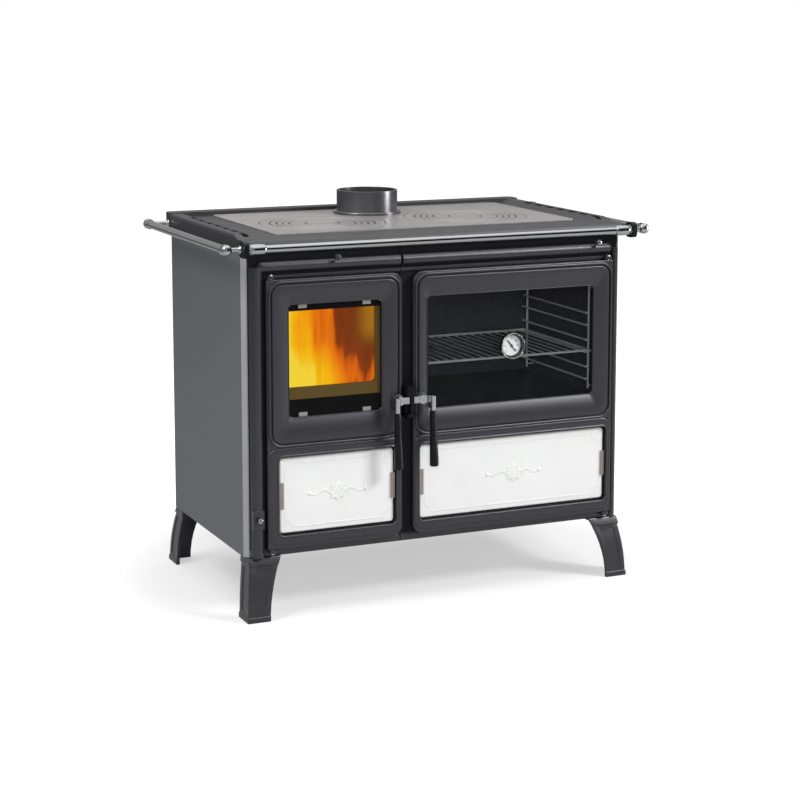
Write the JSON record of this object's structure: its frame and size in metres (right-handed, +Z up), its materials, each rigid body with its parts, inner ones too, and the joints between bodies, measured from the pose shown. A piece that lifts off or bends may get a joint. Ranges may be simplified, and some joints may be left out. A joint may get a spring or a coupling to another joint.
{
  "type": "wood cookstove",
  "caption": "Free-standing wood-burning cookstove: glazed firebox door, glazed oven door, ringed cooking plate, towel rails, flue collar and cast legs.",
  "frame": {"origin": "middle of the overall depth and width, on the floor under the feet", "axes": "+X from the firebox side to the oven side, +Y from the front to the back, +Z up"},
  "size_m": [1.073, 0.6435, 0.9176],
  "materials": {
    "enamelled_sheet": "satin dark grey enamel on steel sheet",
    "light_trim": "satin light grey paint",
    "black_sheet": "matt black heatproof paint",
    "black_cast_iron": "satin anthracite enamelled cast iron",
    "ground_cast_iron": "ground cast iron, brushed",
    "rough_cast_iron": "bare cast iron",
    "chrome_rail": "polished chrome plate",
    "bright_steel": "bright zinc-plated steel",
    "stainless": "turned stainless steel",
    "firebrick": "pressed vermiculite",
    "clear_glass": "clear ceramic glass",
    "white_glaze": "glossy white glaze",
    "rope_seal": "knitted glass-fibre rope",
    "black_grip": "black heatproof grip",
    "dial_enamel": "white printed dial",
    "needle_paint": "black paint"
  },
  "bodies": {
    "root": {"left_side_panel": "enamelled_sheet", "right_side_panel": "enamelled_sheet", "corner_trims": "light_trim", "back_panel": "black_sheet", "base_plate": "black_sheet", "rear_heat_shield": "black_sheet", "shield_spacers": "bright_steel", "front_frame_left": "black_cast_iron", "front_frame_right": "black_cast_iron", "latch_keeper": "black_cast_iron", "hinge_pins": "bright_steel", "hob_frame": "black_cast_iron", "hob_plate": "ground_cast_iron", "flue_collar": "black_cast_iron", "front_rail": "chrome_rail", "side_rails": "chrome_rail", "rail_ferrules": "chrome_rail", "rail_brackets": "black_cast_iron", "leg_front_left": "black_cast_iron", "leg_front_right": "black_cast_iron", "leg_rear_left": "black_cast_iron", "leg_rear_right": "black_cast_iron", "leg_bolts": "bright_steel", "firebox_shell": "black_sheet", "fire_grate": "rough_cast_iron", "firebrick_rear": "firebrick", "firebrick_sides": "firebrick", "smoke_baffle": "firebrick", "oven_box": "black_sheet", "oven_runners": "chrome_rail"},
    "fire_door": {"fire_door": "black_cast_iron", "fire_door_glass": "clear_glass", "fire_glass_clips": "bright_steel", "fire_door_seal": "rope_seal", "fire_door_tile": "white_glaze", "fire_tile_clips": "bright_steel"},
    "fire_handle": {"fire_handle_lever": "chrome_rail", "fire_handle_grip": "black_grip"},
    "oven_door": {"oven_door": "black_cast_iron", "oven_door_glass": "clear_glass", "oven_door_seal": "rope_seal", "oven_door_tile": "white_glaze", "oven_tile_clips": "bright_steel", "thermometer_case": "stainless", "thermometer_dial": "dial_enamel"},
    "oven_handle": {"oven_handle_lever": "chrome_rail", "oven_handle_grip": "black_grip"},
    "thermometer_needle": {"thermometer_needle": "needle_paint"},
    "ash_drawer": {"ash_drawer": "black_sheet"},
    "oven_shelf": {"oven_shelf": "chrome_rail"},
    "primary_air": {"primary_air_slider": "bright_steel", "primary_air_knob": "stainless"},
    "secondary_air": {"secondary_air_slider": "bright_steel", "secondary_air_knob": "stainless"},
    "damper": {"damper_slider": "bright_steel", "damper_knob": "stainless"},
    "left_hob_ring": {"left_hob_ring": "ground_cast_iron"},
    "left_hob_cap": {"left_hob_cap": "ground_cast_iron"},
    "right_hob_ring": {"right_hob_ring": "ground_cast_iron"},
    "right_hob_cap": {"right_hob_cap": "ground_cast_iron"}
  },
  "joints": [
    {"name": "fire_door_hinge", "type": "hinge", "parent": "root", "child": "fire_door", "pos_m": [-0.4186, -0.27233, 0.4655], "axis": [0, 0, -1], "range_deg": [0, 100]},
    {"name": "oven_door_hinge", "type": "hinge", "parent": "root", "child": "oven_door", "pos_m": [0.4336, -0.27233, 0.4655], "axis": [0, 0, 1], "range_deg": [0, 100]},
    {"name": "fire_handle_turn", "type": "hinge", "parent": "fire_door", "child": "fire_handle", "pos_m": [-0.117, -0.29433, 0.4795], "axis": [0, 1, 0], "range_deg": [0, 50]},
    {"name": "oven_handle_turn", "type": "hinge", "parent": "oven_door", "child": "oven_handle", "pos_m": [-0.06, -0.29433, 0.4795], "axis": [0, -1, 0], "range_deg": [0, 50]},
    {"name": "needle_turn", "type": "hinge", "parent": "oven_door", "child": "thermometer_needle", "pos_m": [0.178, -0.27333, 0.583], "axis": [0, 1, 0], "range_deg": [-90, 150]},
    {"name": "ash_drawer_slide", "type": "slide", "parent": "root", "child": "ash_drawer", "axis": [0, -1, 0], "range_m": [0, 0.02]},
    {"name": "oven_shelf_slide", "type": "slide", "parent": "root", "child": "oven_shelf", "axis": [0, -1, 0], "range_m": [0, 0.025]},
    {"name": "primary_air_pull", "type": "slide", "parent": "root", "child": "primary_air", "axis": [0, -1, 0], "range_m": [0, 0.04]},
    {"name": "secondary_air_pull", "type": "slide", "parent": "root", "child": "secondary_air", "axis": [0, -1, 0], "range_m": [0, 0.04]},
    {"name": "damper_pull", "type": "slide", "parent": "root", "child": "damper", "axis": [0, -1, 0], "range_m": [0, 0.04]},
    {"name": "left_ring_lift", "type": "slide", "parent": "root", "child": "left_hob_ring", "axis": [0, 0, 1], "range_m": [0, 0.05]},
    {"name": "left_cap_lift", "type": "slide", "parent": "left_hob_ring", "child": "left_hob_cap", "axis": [0, 0, 1], "range_m": [0, 0.05]},
    {"name": "right_ring_lift", "type": "slide", "parent": "root", "child": "right_hob_ring", "axis": [0, 0, 1], "range_m": [0, 0.05]},
    {"name": "right_cap_lift", "type": "slide", "parent": "right_hob_ring", "child": "right_hob_cap", "axis": [0, 0, 1], "range_m": [0, 0.05]}
  ]
}
